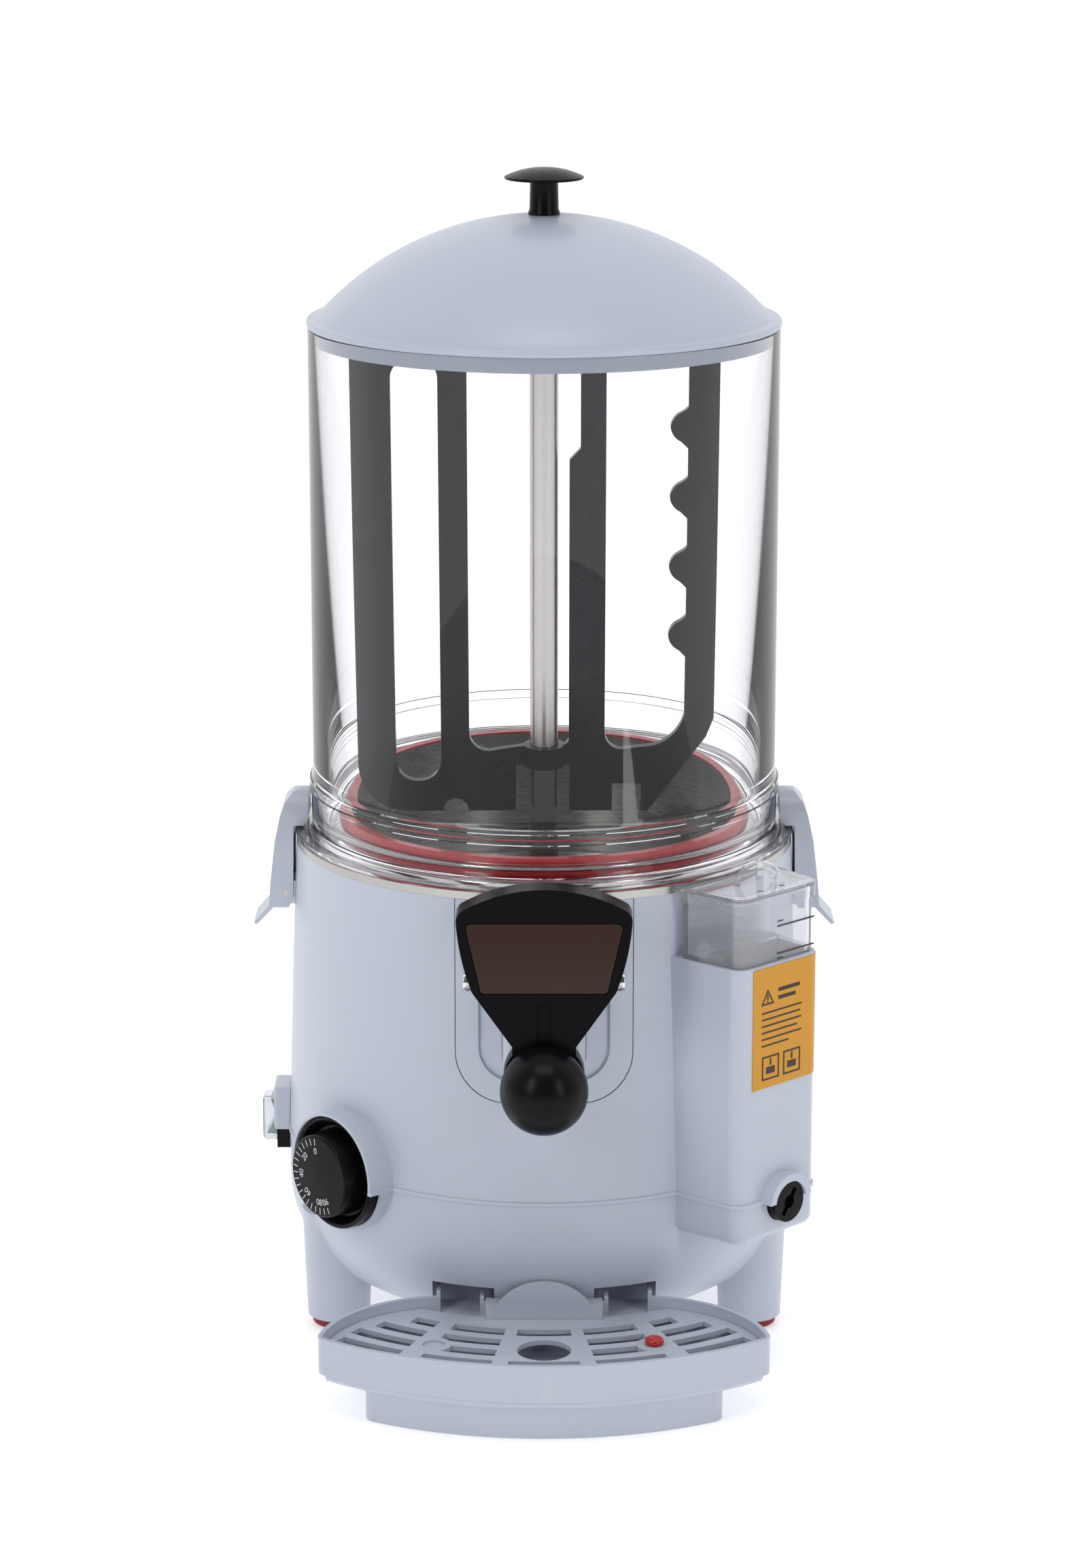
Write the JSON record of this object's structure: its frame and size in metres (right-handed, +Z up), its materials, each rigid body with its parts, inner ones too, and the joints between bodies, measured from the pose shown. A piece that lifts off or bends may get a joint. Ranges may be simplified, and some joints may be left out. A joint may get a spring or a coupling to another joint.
{
  "type": "hot drink dispenser",
  "caption": "Counter-top hot drink dispenser: clear bowl with stirrer on a heated base, lever tap, water-level tank, thermostat dial and drip tray.",
  "frame": {"origin": "bottom centre of the bounding box, on the counter", "axes": "+Z up, -Y towards the user (tap and drip tray), +X to the user's right"},
  "size_m": [0.294, 0.344, 0.58],
  "materials": {
    "shell": "satin",
    "dome": "satin",
    "black": "satin grain",
    "clear": "clear",
    "steel": "brushed",
    "chrome": "polished",
    "red": "matte",
    "foot_red": "matte",
    "green": "gloss",
    "orange": "satin",
    "brown": "gloss",
    "motor": "satin",
    "nylon": "satin",
    "seal": "matte"
  },
  "bodies": {
    "base": {"upper_casing": "shell", "lower_casing": "shell", "foot_front_left": "foot_red", "foot_front_right": "foot_red", "foot_rear_left": "foot_red", "foot_rear_right": "foot_red", "base_plate": "steel", "casing_screws": "steel", "cable_gland": "black", "gearbox": "motor", "motor": "motor", "centre_tube": "steel", "tube_bushings": "nylon", "tube_nut": "steel", "tube_seal": "red", "boiler_tank": "steel", "heating_element": "steel", "heating_dish": "steel", "outlet_tube": "steel", "bowl_gasket": "red", "bowl": "clear", "front_panel": "shell", "tap_body": "shell", "tap_cap": "shell", "tap_thumb_screws": "chrome", "tap_spring": "steel", "sight_tank": "clear", "level_pipe": "steel", "water_label": "orange", "drain_tube": "shell", "dial_bezel": "black", "thermostat": "motor", "switch_frame": "black", "switch_cover": "clear", "switch_hood": "shell", "latch_brackets": "steel", "latch_pins": "steel"},
    "lid": {"lid": "dome", "lid_knob": "black", "lid_knob_screw": "steel"},
    "paddle": {"stirrer": "black", "drive_shaft": "steel", "shaft_coupling": "steel"},
    "lever": {"tap_lever": "black", "tap_ball": "black", "tap_name_plate": "brown"},
    "plunger": {"tap_plunger": "nylon", "plunger_seal": "red"},
    "dial": {"dial_knob": "black"},
    "switch": {"rocker": "green"},
    "latch_l": {"latch_left": "shell"},
    "latch_r": {"latch_right": "shell"},
    "tray": {"drip_tray": "shell"},
    "grid": {"drip_grid": "shell"},
    "marker": {"tray_float": "red"},
    "filler": {"filler_lid": "clear"},
    "drain": {"drain_plug": "black"}
  },
  "joints": [
    {"name": "lid_lift", "type": "slide", "parent": "base", "child": "lid", "axis": [0, 0, 1], "range_m": [0, 0.12]},
    {"name": "stirrer_spin", "type": "hinge", "parent": "base", "child": "paddle", "pos_m": [0, 0.035, 0.3], "axis": [0, 0, 1], "continuous": true},
    {"name": "tap_lever_pull", "type": "hinge", "parent": "base", "child": "lever", "pos_m": [0, -0.096, 0.206], "axis": [-1, 0, 0], "range_deg": [0, 14], "stiffness_Nm_per_rad": 0.5, "springref_deg": -14.32, "deforming": ["tap_spring"]},
    {"name": "tap_plunger_rise", "type": "slide", "parent": "base", "child": "plunger", "axis": [0, 0, 1], "range_m": [0, 0.0042]},
    {"name": "dial_turn", "type": "hinge", "parent": "base", "child": "dial", "pos_m": [-0.10404, -0.05868, 0.0959], "axis": [-0.7431, -0.6691, 0], "range_deg": [0, 270]},
    {"name": "rocker_tip", "type": "hinge", "parent": "base", "child": "switch", "pos_m": [-0.133, 0.035, 0.0942], "axis": [0, -1, 0], "range_deg": [0, 14]},
    {"name": "latch_left_swing", "type": "hinge", "parent": "base", "child": "latch_l", "pos_m": [-0.1307, 0.035, 0.2163], "axis": [0, -1, 0], "range_deg": [0, 18]},
    {"name": "latch_right_swing", "type": "hinge", "parent": "base", "child": "latch_r", "pos_m": [0.1307, 0.035, 0.2163], "axis": [0, 1, 0], "range_deg": [0, 18]},
    {"name": "tray_slide", "type": "slide", "parent": "base", "child": "tray", "axis": [0, -1, 0], "range_m": [0, 0.12]},
    {"name": "grid_lift", "type": "slide", "parent": "tray", "child": "grid", "axis": [0, 0, 1], "range_m": [0, 0.014]},
    {"name": "float_rise", "type": "slide", "parent": "grid", "child": "marker", "axis": [0, 0, 1], "range_m": [0, 0.008]},
    {"name": "filler_lift", "type": "slide", "parent": "base", "child": "filler", "axis": [0, 0, 1], "range_m": [0, 0.05]},
    {"name": "drain_plug_pull", "type": "slide", "parent": "base", "child": "drain", "axis": [0.6947, -0.7193, 0], "range_m": [0, 0.03]}
  ],
  "couplings": [
    {"joint": "tap_plunger_rise", "follows": "tap_lever_pull", "m_per_rad": 0.0164}
  ]
}
